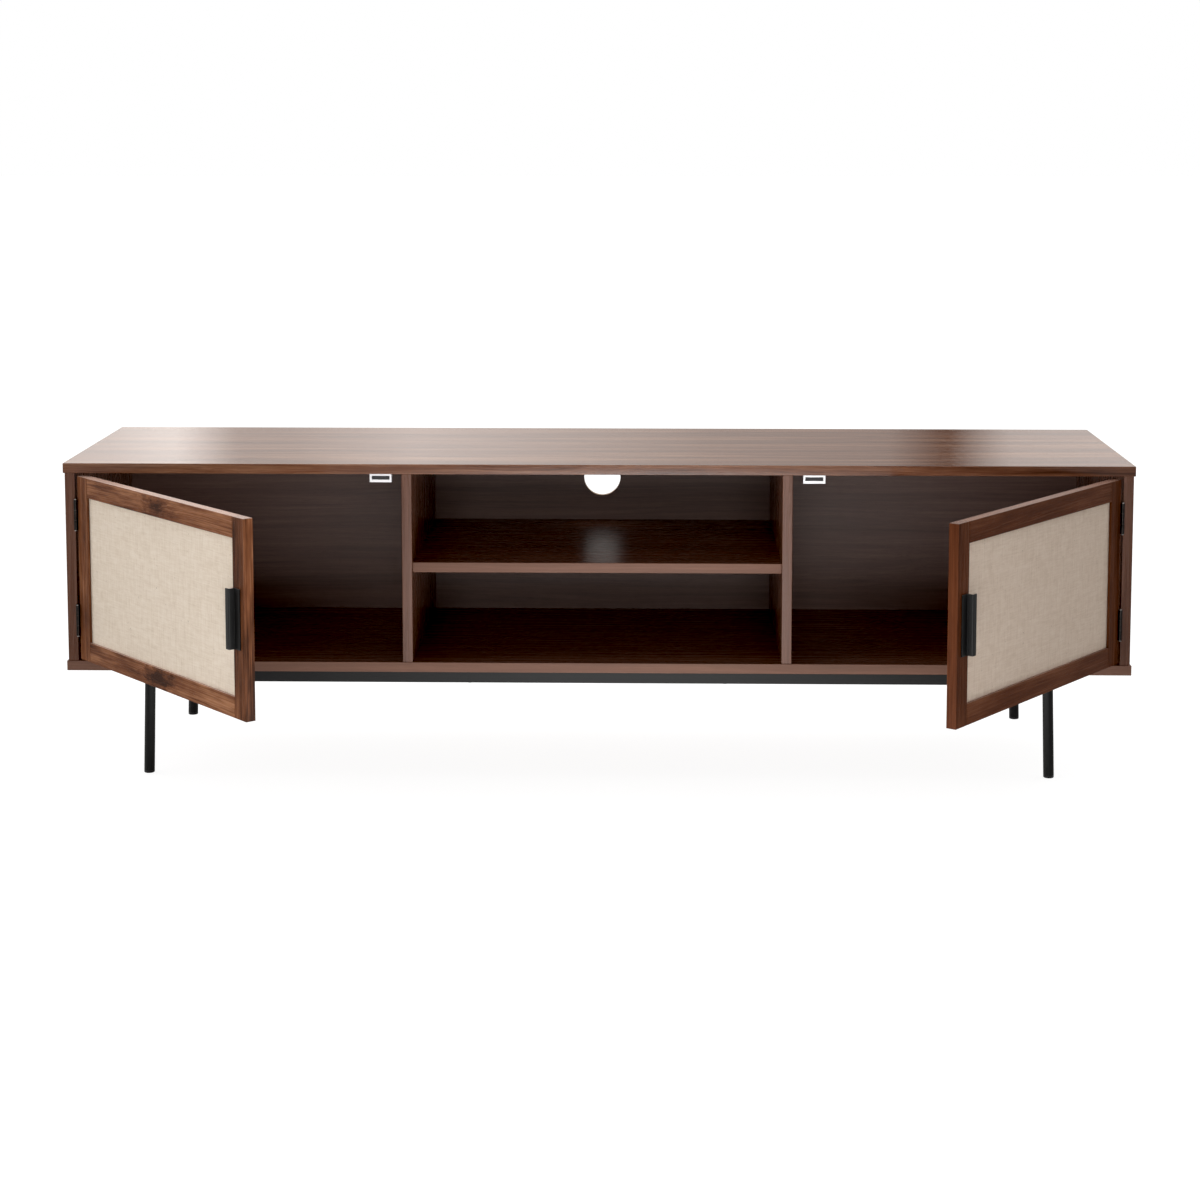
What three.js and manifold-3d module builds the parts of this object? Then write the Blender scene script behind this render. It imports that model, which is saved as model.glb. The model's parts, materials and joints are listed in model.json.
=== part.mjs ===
// A low television stand: a walnut-faced box with two framed linen doors, an open middle bay with one
// shelf, and a black tube base. Millimetres; X runs along the width, Y from front to back, Z up from the
// floor. Both doors stand part open. The model is drawn with Y = 0 at the front edge of the top and is
// moved at the end, so that its origin is the middle of the floor rectangle that it covers.
import * as THREE from 'three';
import { RoundedBoxGeometry } from 'three/addons/geometries/RoundedBoxGeometry.js';
import { mergeVertices } from 'three/addons/utils/BufferGeometryUtils.js';
import Module from 'manifold-3d';

const wasm = await Module();
wasm.setup();

// Driving dimensions.
const WIDTH = 1600;
const DEPTH = 410;
const HEIGHT = 480;
const BODY_HEIGHT = 316;
const BOARD = 15;
const OVERHANG = 2.5; // the top and bottom pass the side panels at each end
const SETBACK = 1; // the upright boards and the doors stand behind the top's front edge
const ARRIS = 0.7; // edge radius of the faced boards
const FIT = 0.3; // gap between pieces that are fitted together
const PAST = 1; // how far a cutting shape runs out of the face that it cuts
const MIDDLE_BAY = 554; // clear width between the dividers
const SHELF_SETBACK = 10;
const BACK_THICKNESS = 9;
const BACK_RECESS = 3;
const CABLE_HOLE_RADIUS = 30;
const CABLE_HOLE_DROP = 80; // from the top of the stand to the middle of the hole

// Doors. A door is drawn closed, with its hinge axis at x = 0, y = 0, and is then turned about that axis.
const DOOR_GAP = 2.5; // beside the door, on both sides
const DOOR_GAP_TOP = 4;
const DOOR_GAP_BOTTOM = 3;
const FRAME_BAR = 30; // width of the stiles and rails
const PANEL_RECESS = 4.1;
const LINEN_THICKNESS = 0.7;
const BACKING_THICKNESS = 3;
const GROOVE_DEPTH = 6;
const LEFT_DOOR_OPEN = 50; // degrees
const RIGHT_DOOR_OPEN = 53.5;

// Butt hinges.
const KNUCKLE_RADIUS = 2.6;
const PIN_RADIUS = 1.2;
const PIN_HEAD = { radius: 2.2, crownRadius: 1.5, rim: 0.6, shoulder: 1.3, height: 1.5 };
const LEAF_THICKNESS = 1;
const LEAF_DEPTH = 14;
const LEAF_MORTISE = 0.8; // depth of the seat for a leaf in the door's edge
const HINGE_HEIGHT = 46;
const HINGE_INSET = 36; // from the door's top and bottom edges to the nearest end of a hinge
const AXIS_FORWARD = 3; // the hinge axis stands this far in front of the doors' front faces

// Handles: a bar of Z section, its flange on the stile and its lip turned towards the linen. Two
// pan-headed screws from inside the door hold it.
const HANDLE_HEIGHT = 84;
const HANDLE_SHEET = 2;
const HANDLE_EDGE = 10; // from the door's free edge to the flange
const HANDLE_BEND = { outside: 2, inside: 0.5 }; // radii of the two bends
const HANDLE_FLANGE = 14.5;
const HANDLE_PROJECTION = 11;
const HANDLE_LIP = 9;
const HANDLE_SCREW_SPACING = 60;
const SCREW_RADIUS = 2;
const SCREW_BITE = 1.1; // how far a screw enters the handle's flange
const SCREW_HEAD = { radius: 4, height: 2.2 };

// Magnetic catches under the top, beside the dividers.
const CATCH_FROM_DIVIDER = 33;
const CATCH_WIDTH = 33;
const CATCH_HEIGHT = 15;
const CATCH_DEPTH = 15;
const CATCH_EARS = 48;
const CATCH_SHEET = 1.2;
const EAR_SETBACK = 2;
const EAR_SLOT_RADIUS = 1.8;
const MAGNET_SIZE = { width: 26, height: 5, depth: 10 };
const STRIKE = { width: 38, height: 14, thickness: 1.2, inset: 1 };
const CATCH_CLEARANCE = 0.6; // left between the magnet's housing and the strike plate

// Base.
const RAIL = 20; // square tube
const TUBE_WALL = 1.5;
const LEG_RADIUS = 8;
const LEG_X = 680; // leg centres at the rails
const LEG_Y = 28; // leg centres from the front and back edges
const LEG_SPLAY = 4; // outward lean over the leg's length
const GLIDE_HEIGHT = 4;
const GLIDE_PLUG = 8;
const GLIDE_ARRIS = 0.8;

// Shelf supports.
const PEG_RADIUS = 2.5;
const PEG_SHANK = 8;
const PEG_REACH = 9;
const PEG_INSET = 45; // from the shelf's front and back edges

// Levels and planes that follow from the dimensions.
const BODY_BOTTOM = HEIGHT - BODY_HEIGHT;
const FLOOR_TOP = BODY_BOTTOM + BOARD;
const TOP_UNDERSIDE = HEIGHT - BOARD;
const INNER_HEIGHT = TOP_UNDERSIDE - FLOOR_TOP;
const SIDE_OUTER = WIDTH / 2 - OVERHANG;
const SIDE_INNER = SIDE_OUTER - BOARD;
const DIVIDER_INNER = MIDDLE_BAY / 2;
const DIVIDER_OUTER = DIVIDER_INNER + BOARD;
const BACK_REAR = DEPTH - BACK_RECESS;
const BACK_FRONT = BACK_REAR - BACK_THICKNESS;
const SHELF_BOTTOM = FLOOR_TOP + (INNER_HEIGHT - BOARD) / 2;
const DOOR_WIDTH = SIDE_INNER - DIVIDER_OUTER - 2 * DOOR_GAP;
const DOOR_BOTTOM = FLOOR_TOP + DOOR_GAP_BOTTOM;
const DOOR_TOP = TOP_UNDERSIDE - DOOR_GAP_TOP;
const DOOR_MIDDLE = (DOOR_BOTTOM + DOOR_TOP) / 2;
const AXIS_X = SIDE_INNER - DOOR_GAP / 2;
const AXIS_Y = SETBACK - AXIS_FORWARD;
const DOOR_NEAR = DOOR_GAP / 2; // hinge axis to the door's hinge edge
const DOOR_FAR = DOOR_NEAR + DOOR_WIDTH;
const DOOR_FRONT = AXIS_FORWARD;
const DOOR_REAR = DOOR_FRONT + BOARD;
const CATCH_DISTANCE = AXIS_X - DIVIDER_OUTER - CATCH_FROM_DIVIDER; // hinge axis to the middle of the catch
const SCREW_DISTANCE = DOOR_FAR - HANDLE_EDGE - (HANDLE_FLANGE - HANDLE_SHEET) / 2;
const SCREW_LEVELS = [DOOR_MIDDLE - HANDLE_SCREW_SPACING / 2, DOOR_MIDDLE + HANDLE_SCREW_SPACING / 2];
const HINGE_LEVELS = {
  upper: DOOR_TOP - HINGE_INSET - HINGE_HEIGHT,
  lower: DOOR_BOTTOM + HINGE_INSET,
};
const PEG_POSITIONS = {
  front: SETBACK + SHELF_SETBACK + PEG_INSET,
  rear: BACK_FRONT - PEG_INSET,
};
const SIDES = { left: -1, right: 1 }; // the sign of X on each side

const WALNUT = new THREE.MeshStandardMaterial({ color: 0x6d4635, roughness: 0.42, metalness: 0 });
const DOOR_WALNUT = new THREE.MeshStandardMaterial({ color: 0x7c4b31, roughness: 0.45, metalness: 0 });
const LINEN = new THREE.MeshStandardMaterial({ color: 0xd6c8b3, roughness: 0.95, metalness: 0 });
const BACKING = new THREE.MeshStandardMaterial({ color: 0x5f3d2d, roughness: 0.6, metalness: 0 });
const BLACK_COAT = new THREE.MeshStandardMaterial({ color: 0x1a1a1b, roughness: 0.5, metalness: 0.3 });
const GLIDE_PLASTIC = new THREE.MeshStandardMaterial({ color: 0x0f0f10, roughness: 0.7, metalness: 0 });
const HINGE_STEEL = new THREE.MeshStandardMaterial({ color: 0x5d5855, roughness: 0.4, metalness: 0.9 });
const PIN_STEEL = new THREE.MeshStandardMaterial({ color: 0x9a9794, roughness: 0.3, metalness: 1 });
const CATCH_ALUMINIUM = new THREE.MeshStandardMaterial({ color: 0xc4c2c6, roughness: 0.45, metalness: 0.7 });
const MAGNET = new THREE.MeshStandardMaterial({ color: 0x35343a, roughness: 0.6, metalness: 0.2 });

// ---- Geometry helpers ---------------------------------------------------------------------------

// A box between two opposite corners, with rounded edges where a radius is given.
function slab(low, high, radius = 0) {
  const size = high.map((value, axis) => value - low[axis]);
  const geometry = radius > 0
    ? new RoundedBoxGeometry(...size, 1, radius)
    : new THREE.BoxGeometry(...size);
  return geometry.translate(...high.map((value, axis) => (value + low[axis]) / 2));
}

// An outline in the XY plane, given as [x, y] or [x, y, corner radius], carried up from one level to another.
function prism(corners, bottom, top) {
  const shape = new THREE.Shape();
  corners.forEach(([x, y, radius = 0], index) => {
    const corner = new THREE.Vector2(x, y);
    const before = new THREE.Vector2(...corners.at(index - 1)).sub(corner).normalize();
    const after = new THREE.Vector2(...corners[(index + 1) % corners.length]).sub(corner).normalize();
    const start = before.multiplyScalar(radius).add(corner);
    const end = after.multiplyScalar(radius).add(corner);
    if (index === 0) shape.moveTo(start.x, start.y);
    else shape.lineTo(start.x, start.y);
    if (radius > 0) shape.quadraticCurveTo(corner.x, corner.y, end.x, end.y);
  });
  shape.closePath();
  const extrusion = { depth: top - bottom, bevelEnabled: false, curveSegments: 4 };
  return new THREE.ExtrudeGeometry(shape, extrusion).translate(0, 0, bottom);
}

// A round bar along Z.
function rod(radius, bottom, top, x = 0, y = 0, segments = 24) {
  const geometry = new THREE.CylinderGeometry(radius, radius, top - bottom, segments);
  return geometry.rotateX(Math.PI / 2).translate(x, y, (top + bottom) / 2);
}

// A turned shape about Z from [radius, z] pairs, which start and end on the axis.
function turned(profile, segments = 24) {
  const points = profile.map(([radius, z]) => new THREE.Vector2(radius, z));
  return new THREE.LatheGeometry(points, segments).rotateX(Math.PI / 2);
}

function toSolid(geometry) {
  const bare = geometry.clone();
  bare.deleteAttribute('normal');
  bare.deleteAttribute('uv');
  const merged = mergeVertices(bare, 1e-4);
  return new wasm.Manifold(new wasm.Mesh({
    numProp: 3,
    vertProperties: Float32Array.from(merged.attributes.position.array),
    triVerts: Uint32Array.from(merged.index.array),
  }));
}

function toGeometry(solid) {
  const mesh = solid.getMesh();
  const geometry = new THREE.BufferGeometry();
  geometry.setAttribute('position', new THREE.BufferAttribute(mesh.vertProperties, 3));
  geometry.setIndex(new THREE.BufferAttribute(mesh.triVerts, 1));
  geometry.computeVertexNormals();
  return geometry;
}

function join(...geometries) {
  return toGeometry(geometries.map(toSolid).reduce((whole, piece) => whole.add(piece)));
}

function cut(geometry, ...tools) {
  return toGeometry(tools.map(toSolid).reduce((whole, tool) => whole.subtract(tool), toSolid(geometry)));
}

function addPiece(group, name, geometry, material) {
  const mesh = new THREE.Mesh(geometry, material);
  mesh.name = name;
  group.add(mesh);
}

// ---- Carcass ------------------------------------------------------------------------------------

function addHorizontalBoards(stand) {
  const ends = WIDTH / 2;
  addPiece(stand, 'top_panel', slab([-ends, 0, TOP_UNDERSIDE], [ends, DEPTH, HEIGHT], ARRIS), WALNUT);
  addPiece(stand, 'bottom_panel', slab([-ends, 0, BODY_BOTTOM], [ends, DEPTH, FLOOR_TOP], ARRIS), WALNUT);
}

// One end panel, outside face at SIDE_OUTER on the side that the sign gives.
function addSidePanel(stand, name, sign) {
  const across = [sign * SIDE_INNER, sign * SIDE_OUTER].sort((a, b) => a - b);
  const board = slab([across[0], SETBACK, FLOOR_TOP], [across[1], DEPTH, TOP_UNDERSIDE], ARRIS);
  addPiece(stand, name, board, WALNUT);
}

// A horizontal peg lying along X, drawn from its hidden end at x = 0.
function peg(radius, length) {
  const upright = new THREE.CylinderGeometry(radius, radius, length, 16);
  return upright.rotateZ(Math.PI / 2).translate(length / 2, 0, 0);
}

function addDivider(stand, name, sign) {
  const across = [sign * DIVIDER_INNER, sign * DIVIDER_OUTER].sort((a, b) => a - b);
  const board = slab([across[0], SETBACK, FLOOR_TOP], [across[1], BACK_FRONT, TOP_UNDERSIDE], ARRIS);
  const holes = Object.values(PEG_POSITIONS).map((y) => {
    const hole = peg(PEG_RADIUS + FIT, PEG_SHANK + 2 * FIT);
    const start = sign > 0 ? DIVIDER_INNER - FIT : -DIVIDER_INNER - PEG_SHANK - FIT;
    return hole.translate(start, y, SHELF_BOTTOM - PEG_RADIUS);
  });
  addPiece(stand, name, cut(board, ...holes), WALNUT);
}

function addShelf(stand) {
  const low = [-DIVIDER_INNER, SETBACK + SHELF_SETBACK, SHELF_BOTTOM];
  const high = [DIVIDER_INNER, BACK_FRONT, SHELF_BOTTOM + BOARD];
  addPiece(stand, 'middle_shelf', slab(low, high, ARRIS), WALNUT);
  for (const [side, sign] of Object.entries(SIDES)) {
    const start = sign > 0 ? DIVIDER_INNER - PEG_REACH : -DIVIDER_INNER - PEG_SHANK;
    for (const [end, y] of Object.entries(PEG_POSITIONS)) {
      const geometry = peg(PEG_RADIUS, PEG_SHANK + PEG_REACH).translate(start, y, SHELF_BOTTOM - PEG_RADIUS);
      addPiece(stand, `shelf_peg_${side}_${end}`, geometry, PIN_STEEL);
    }
  }
}

function addBackPanel(stand) {
  const outline = new THREE.Shape();
  outline.moveTo(-SIDE_INNER, 0);
  outline.lineTo(SIDE_INNER, 0);
  outline.lineTo(SIDE_INNER, INNER_HEIGHT);
  outline.lineTo(-SIDE_INNER, INNER_HEIGHT);
  outline.closePath();
  const hole = new THREE.Path();
  hole.absarc(0, HEIGHT - CABLE_HOLE_DROP - FLOOR_TOP, CABLE_HOLE_RADIUS, 0, 2 * Math.PI, true);
  outline.holes.push(hole);
  const extrusion = { depth: BACK_THICKNESS, bevelEnabled: false, curveSegments: 48 };
  const geometry = new THREE.ExtrudeGeometry(outline, extrusion);
  geometry.rotateX(Math.PI / 2).translate(0, BACK_REAR, FLOOR_TOP);
  addPiece(stand, 'back_panel', geometry, WALNUT);
}

// ---- Base ---------------------------------------------------------------------------------------

// A square tube with mitred ends, its long side facing -Y at y = 0.
function mitredTube(length) {
  const half = length / 2;
  const outside = [[-half, 0], [half, 0], [half - RAIL, RAIL], [-half + RAIL, RAIL]];
  const inner = RAIL - TUBE_WALL;
  const hollow = [
    [-half + TUBE_WALL - PAST, TUBE_WALL],
    [half - TUBE_WALL + PAST, TUBE_WALL],
    [half - inner + PAST, inner],
    [-half + inner - PAST, inner],
  ];
  return cut(prism(outside, 0, RAIL), prism(hollow, TUBE_WALL, inner));
}

function addRails(stand) {
  const halfWidth = LEG_X + RAIL / 2;
  const halfDepth = DEPTH / 2 - LEG_Y + RAIL / 2;
  const rails = [
    ['base_front_rail', 2 * halfWidth, halfDepth, 0],
    ['base_rear_rail', 2 * halfWidth, halfDepth, Math.PI],
    ['base_left_rail', 2 * halfDepth, halfWidth, -Math.PI / 2],
    ['base_right_rail', 2 * halfDepth, halfWidth, Math.PI / 2],
  ];
  for (const [name, length, reach, turn] of rails) {
    const geometry = mitredTube(length - 2 * FIT);
    geometry.translate(0, -reach, 0).rotateZ(turn);
    geometry.translate(0, DEPTH / 2, BODY_BOTTOM - RAIL);
    addPiece(stand, name, geometry, BLACK_COAT);
  }
}

// A round tube that leans outward in X; its ends stay level.
function leg(lean) {
  const outline = new THREE.Shape().absarc(0, 0, LEG_RADIUS, 0, 2 * Math.PI, false);
  outline.holes.push(new THREE.Path().absarc(0, 0, LEG_RADIUS - TUBE_WALL, 0, 2 * Math.PI, true));
  const length = BODY_BOTTOM - RAIL - GLIDE_HEIGHT;
  const extrusion = { depth: length, bevelEnabled: false, curveSegments: 16 };
  const geometry = new THREE.ExtrudeGeometry(outline, extrusion).translate(0, 0, -length);
  return geometry.applyMatrix4(new THREE.Matrix4().makeShear(0, 0, 0, 0, -lean / length, 0));
}

// A foot: a disc under the tube's end and a ribless plug inside the tube.
function glide() {
  const plug = LEG_RADIUS - TUBE_WALL - 2 * FIT;
  return turned([
    [0, 0],
    [LEG_RADIUS - GLIDE_ARRIS, 0],
    [LEG_RADIUS, GLIDE_ARRIS],
    [LEG_RADIUS, GLIDE_HEIGHT],
    [plug, GLIDE_HEIGHT],
    [plug, GLIDE_HEIGHT + GLIDE_PLUG],
    [0, GLIDE_HEIGHT + GLIDE_PLUG],
  ]);
}

function addLegs(stand) {
  for (const [side, sign] of Object.entries(SIDES)) {
    for (const [end, y] of Object.entries({ front: LEG_Y, rear: DEPTH - LEG_Y })) {
      const tube = leg(sign * LEG_SPLAY).translate(sign * LEG_X, y, BODY_BOTTOM - RAIL);
      addPiece(stand, `leg_${end}_${side}`, tube, BLACK_COAT);
      const foot = glide().translate(sign * (LEG_X + LEG_SPLAY), y, 0);
      addPiece(stand, `foot_glide_${end}_${side}`, foot, GLIDE_PLASTIC);
    }
  }
}

// ---- Hinges -------------------------------------------------------------------------------------

// One leaf of a butt hinge about the axis x = 0, y = 0: a plate whose outer face is at x = face, and the
// knuckles that belong to this leaf. Knuckles and gaps alternate in thirds of the height.
function hingeLeaf(face, ownThirds, bottom) {
  const third = HINGE_HEIGHT / 3;
  const top = bottom + HINGE_HEIGHT;
  const across = [face, face - Math.sign(face) * LEAF_THICKNESS].sort((a, b) => a - b);
  const plate = slab([across[0], 0, bottom], [across[1], AXIS_FORWARD + LEAF_DEPTH, top]);
  const knuckles = ownThirds.map((index) => (
    rod(KNUCKLE_RADIUS, bottom + index * third + FIT / 2, bottom + (index + 1) * third - FIT / 2)
  ));
  const notches = [0, 1, 2].filter((index) => !ownThirds.includes(index)).map((index) => {
    const clear = KNUCKLE_RADIUS + FIT;
    const low = bottom + index * third - (index > 0 ? FIT / 2 : PAST);
    const high = bottom + (index + 1) * third + (index < 2 ? FIT / 2 : PAST);
    return slab([-clear, -clear, low], [clear, clear, high]);
  });
  const bore = rod(PIN_RADIUS + FIT, bottom - PAST, top + PAST);
  return cut(join(plate, ...knuckles), ...notches, bore);
}

// The loose pin with a round head at each end.
function hingePin(bottom) {
  const low = bottom - FIT;
  const high = bottom + HINGE_HEIGHT + FIT;
  return turned([
    [0, low - PIN_HEAD.height],
    [PIN_HEAD.crownRadius, low - PIN_HEAD.shoulder],
    [PIN_HEAD.radius, low - PIN_HEAD.rim],
    [PIN_HEAD.radius, low],
    [PIN_RADIUS, low],
    [PIN_RADIUS, high],
    [PIN_HEAD.radius, high],
    [PIN_HEAD.radius, high + PIN_HEAD.rim],
    [PIN_HEAD.crownRadius, high + PIN_HEAD.shoulder],
    [0, high + PIN_HEAD.height],
  ], 16);
}

// ---- Doors --------------------------------------------------------------------------------------

// Everything in a door is drawn at a distance from the hinge axis; inward is +1 for the left door and
// -1 for the right.
function acrossDoor(inward, near, far) {
  return [inward * near, inward * far].sort((a, b) => a - b);
}

function doorSlab(inward, near, far, front, rear, bottom, top, radius = 0) {
  const [low, high] = acrossDoor(inward, near, far);
  return slab([low, front, bottom], [high, rear, top], radius);
}

function addDoorFrame(door, name, inward) {
  const grooveFront = DOOR_FRONT + PANEL_RECESS - FIT;
  const grooveRear = DOOR_FRONT + PANEL_RECESS + LINEN_THICKNESS + BACKING_THICKNESS + 2 * FIT;
  const groove = doorSlab(
    inward,
    DOOR_NEAR + FRAME_BAR - GROOVE_DEPTH,
    DOOR_FAR - FRAME_BAR + GROOVE_DEPTH,
    grooveFront,
    grooveRear,
    DOOR_BOTTOM + FRAME_BAR - GROOVE_DEPTH,
    DOOR_TOP - FRAME_BAR + GROOVE_DEPTH,
  );
  const bar = (near, far, bottom, top) => (
    doorSlab(inward, near, far, DOOR_FRONT, DOOR_REAR, bottom, top, ARRIS)
  );
  const hingeStile = bar(DOOR_NEAR, DOOR_NEAR + FRAME_BAR, DOOR_BOTTOM, DOOR_TOP);
  const handleStile = bar(DOOR_FAR - FRAME_BAR, DOOR_FAR, DOOR_BOTTOM, DOOR_TOP);
  const railNear = DOOR_NEAR + FRAME_BAR + FIT;
  const railFar = DOOR_FAR - FRAME_BAR - FIT;
  const topRail = bar(railNear, railFar, DOOR_TOP - FRAME_BAR, DOOR_TOP);
  const bottomRail = bar(railNear, railFar, DOOR_BOTTOM, DOOR_BOTTOM + FRAME_BAR);
  const mortises = Object.values(HINGE_LEVELS).map((bottom) => doorSlab(
    inward,
    DOOR_NEAR - PAST,
    DOOR_NEAR + LEAF_MORTISE,
    DOOR_FRONT - PAST,
    DOOR_FRONT + LEAF_DEPTH + FIT,
    bottom - FIT,
    bottom + HINGE_HEIGHT + FIT,
  ));
  const screwHoles = SCREW_LEVELS.map((level) => {
    const hole = screwRod(SCREW_RADIUS + FIT, DOOR_FRONT - PAST, DOOR_REAR + PAST);
    return hole.translate(inward * SCREW_DISTANCE, 0, level);
  });
  addPiece(door, `${name}_hinge_stile`, cut(hingeStile, groove, ...mortises), DOOR_WALNUT);
  addPiece(door, `${name}_handle_stile`, cut(handleStile, groove, ...screwHoles), DOOR_WALNUT);
  addPiece(door, `${name}_top_rail`, cut(topRail, groove), DOOR_WALNUT);
  addPiece(door, `${name}_bottom_rail`, cut(bottomRail, groove), DOOR_WALNUT);
}

// The linen face and the board that it is glued to, held in the frame's groove.
function addDoorPanel(door, name, inward) {
  const tuck = GROOVE_DEPTH - FIT;
  const near = DOOR_NEAR + FRAME_BAR - tuck;
  const far = DOOR_FAR - FRAME_BAR + tuck;
  const bottom = DOOR_BOTTOM + FRAME_BAR - tuck;
  const top = DOOR_TOP - FRAME_BAR + tuck;
  const linenFront = DOOR_FRONT + PANEL_RECESS;
  const boardFront = linenFront + LINEN_THICKNESS + FIT;
  const boardRear = boardFront + BACKING_THICKNESS;
  const linen = doorSlab(inward, near, far, linenFront, linenFront + LINEN_THICKNESS, bottom, top);
  const board = doorSlab(inward, near, far, boardFront, boardRear, bottom, top);
  addPiece(door, `${name}_linen_panel`, linen, LINEN);
  addPiece(door, `${name}_backing_board`, board, BACKING);
}

// ---- Handles ------------------------------------------------------------------------------------

// A round bar along Y, on the axis x = 0, z = 0.
function screwRod(radius, front, rear) {
  return new THREE.CylinderGeometry(radius, radius, rear - front, 16).translate(0, (front + rear) / 2, 0);
}

function addHandle(door, name, inward) {
  const back = DOOR_FRONT - FIT;
  const near = DOOR_FAR - HANDLE_EDGE;
  const bend = near - HANDLE_FLANGE;
  const webNear = bend + HANDLE_SHEET;
  const lipEnd = webNear - HANDLE_LIP;
  const face = back - HANDLE_PROJECTION;
  const section = [
    [near, back],
    [bend, back, HANDLE_BEND.outside],
    [bend, face + HANDLE_SHEET, HANDLE_BEND.inside],
    [lipEnd, face + HANDLE_SHEET],
    [lipEnd, face],
    [webNear, face, HANDLE_BEND.outside],
    [webNear, back - HANDLE_SHEET, HANDLE_BEND.inside],
    [near, back - HANDLE_SHEET],
  ].map(([distance, y, radius]) => [inward * distance, y, radius]);
  const outline = inward > 0 ? section : section.reverse();
  const bar = prism(outline, DOOR_MIDDLE - HANDLE_HEIGHT / 2, DOOR_MIDDLE + HANDLE_HEIGHT / 2);
  const threads = SCREW_LEVELS.map((level) => {
    const thread = screwRod(SCREW_RADIUS + FIT, back - SCREW_BITE - FIT, back + PAST);
    return thread.translate(inward * SCREW_DISTANCE, 0, level);
  });
  addPiece(door, `${name}_handle`, cut(bar, ...threads), BLACK_COAT);
}

// Pan-headed screws from inside the door into the handle's flange.
function addHandleScrews(door, name, inward) {
  const headFront = DOOR_REAR + FIT;
  SCREW_LEVELS.forEach((level, index) => {
    const shank = screwRod(SCREW_RADIUS, DOOR_FRONT - FIT - SCREW_BITE, headFront + SCREW_HEAD.height / 2);
    const head = screwRod(SCREW_HEAD.radius, headFront, headFront + SCREW_HEAD.height);
    const screw = join(shank, head).translate(inward * SCREW_DISTANCE, 0, level);
    addPiece(door, `${name}_handle_screw_${['lower', 'upper'][index]}`, screw, PIN_STEEL);
  });
}

function addStrikePlate(door, name, inward) {
  const half = STRIKE.width / 2;
  const front = DOOR_REAR + FIT;
  const plate = doorSlab(
    inward,
    CATCH_DISTANCE - half,
    CATCH_DISTANCE + half,
    front,
    front + STRIKE.thickness,
    DOOR_TOP - STRIKE.inset - STRIKE.height,
    DOOR_TOP - STRIKE.inset,
  );
  addPiece(door, `${name}_strike_plate`, plate, CATCH_ALUMINIUM);
}

// One door with its hinge leaves, turned open about the hinge axis.
function addDoor(stand, name, inward, openDegrees) {
  const door = new THREE.Group();
  door.position.set(-inward * AXIS_X, AXIS_Y, 0);
  door.rotation.z = -inward * THREE.MathUtils.degToRad(openDegrees);
  stand.add(door);
  addDoorFrame(door, name, inward);
  addDoorPanel(door, name, inward);
  addHandle(door, name, inward);
  addHandleScrews(door, name, inward);
  addStrikePlate(door, name, inward);
  const fixed = new THREE.Group();
  fixed.position.copy(door.position);
  stand.add(fixed);
  const doorLeafFace = inward * (DOOR_NEAR + LEAF_MORTISE - FIT);
  for (const [level, bottom] of Object.entries(HINGE_LEVELS)) {
    addPiece(door, `${name}_hinge_door_leaf_${level}`, hingeLeaf(doorLeafFace, [1], bottom), HINGE_STEEL);
    const sideLeaf = hingeLeaf(-inward * DOOR_GAP / 2, [0, 2], bottom);
    addPiece(fixed, `${name}_hinge_side_leaf_${level}`, sideLeaf, HINGE_STEEL);
    addPiece(fixed, `${name}_hinge_pin_${level}`, hingePin(bottom), PIN_STEEL);
  }
}

// ---- Magnetic catches ---------------------------------------------------------------------------

function addCatch(stand, side, sign) {
  const middle = sign * (DIVIDER_OUTER + CATCH_FROM_DIVIDER);
  const front = AXIS_Y + DOOR_REAR + FIT + STRIKE.thickness + CATCH_CLEARANCE;
  const rear = front + CATCH_DEPTH;
  const bottom = TOP_UNDERSIDE - CATCH_HEIGHT;
  const half = CATCH_WIDTH / 2;
  const housing = slab([middle - half, front, bottom], [middle + half, rear, TOP_UNDERSIDE]);
  const earHalf = CATCH_EARS / 2;
  const earFront = front + EAR_SETBACK;
  const ears = slab(
    [middle - earHalf, earFront, TOP_UNDERSIDE - CATCH_SHEET],
    [middle + earHalf, rear, TOP_UNDERSIDE],
  );
  const slots = [-1, 1].map((end) => rod(
    EAR_SLOT_RADIUS,
    TOP_UNDERSIDE - CATCH_SHEET - PAST,
    TOP_UNDERSIDE + PAST,
    middle + end * (half + earHalf) / 2,
    (earFront + rear) / 2,
    16,
  ));
  const level = (bottom + TOP_UNDERSIDE - CATCH_SHEET) / 2;
  const magnetBox = (spare, start) => {
    const halfWidth = MAGNET_SIZE.width / 2 + spare;
    const halfHeight = MAGNET_SIZE.height / 2 + spare;
    return slab(
      [middle - halfWidth, start, level - halfHeight],
      [middle + halfWidth, front + MAGNET_SIZE.depth + spare, level + halfHeight],
    );
  };
  const bracket = cut(join(housing, ears), ...slots, magnetBox(FIT, front - PAST));
  addPiece(stand, `${side}_catch_housing`, bracket, CATCH_ALUMINIUM);
  addPiece(stand, `${side}_catch_magnet`, magnetBox(0, front + FIT), MAGNET);
}

// ---- Assembly -----------------------------------------------------------------------------------

const stand = new THREE.Group();
addHorizontalBoards(stand);
for (const [side, sign] of Object.entries(SIDES)) {
  addSidePanel(stand, `${side}_side_panel`, sign);
  addDivider(stand, `${side}_divider`, sign);
  addCatch(stand, side, sign);
}
addShelf(stand);
addBackPanel(stand);
addRails(stand);
addLegs(stand);
addDoor(stand, 'left_door', 1, LEFT_DOOR_OPEN);
addDoor(stand, 'right_door', -1, RIGHT_DOOR_OPEN);

const extent = new THREE.Box3().setFromObject(stand, true);
const middle = extent.getCenter(new THREE.Vector3());
stand.position.set(-middle.x, -middle.y, -extent.min.z);
const tvStand = new THREE.Group();
tvStand.add(stand);

export default tvStand;
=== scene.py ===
import json
import math

import bmesh
import bpy
from mathutils import Matrix, Vector, noise


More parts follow.
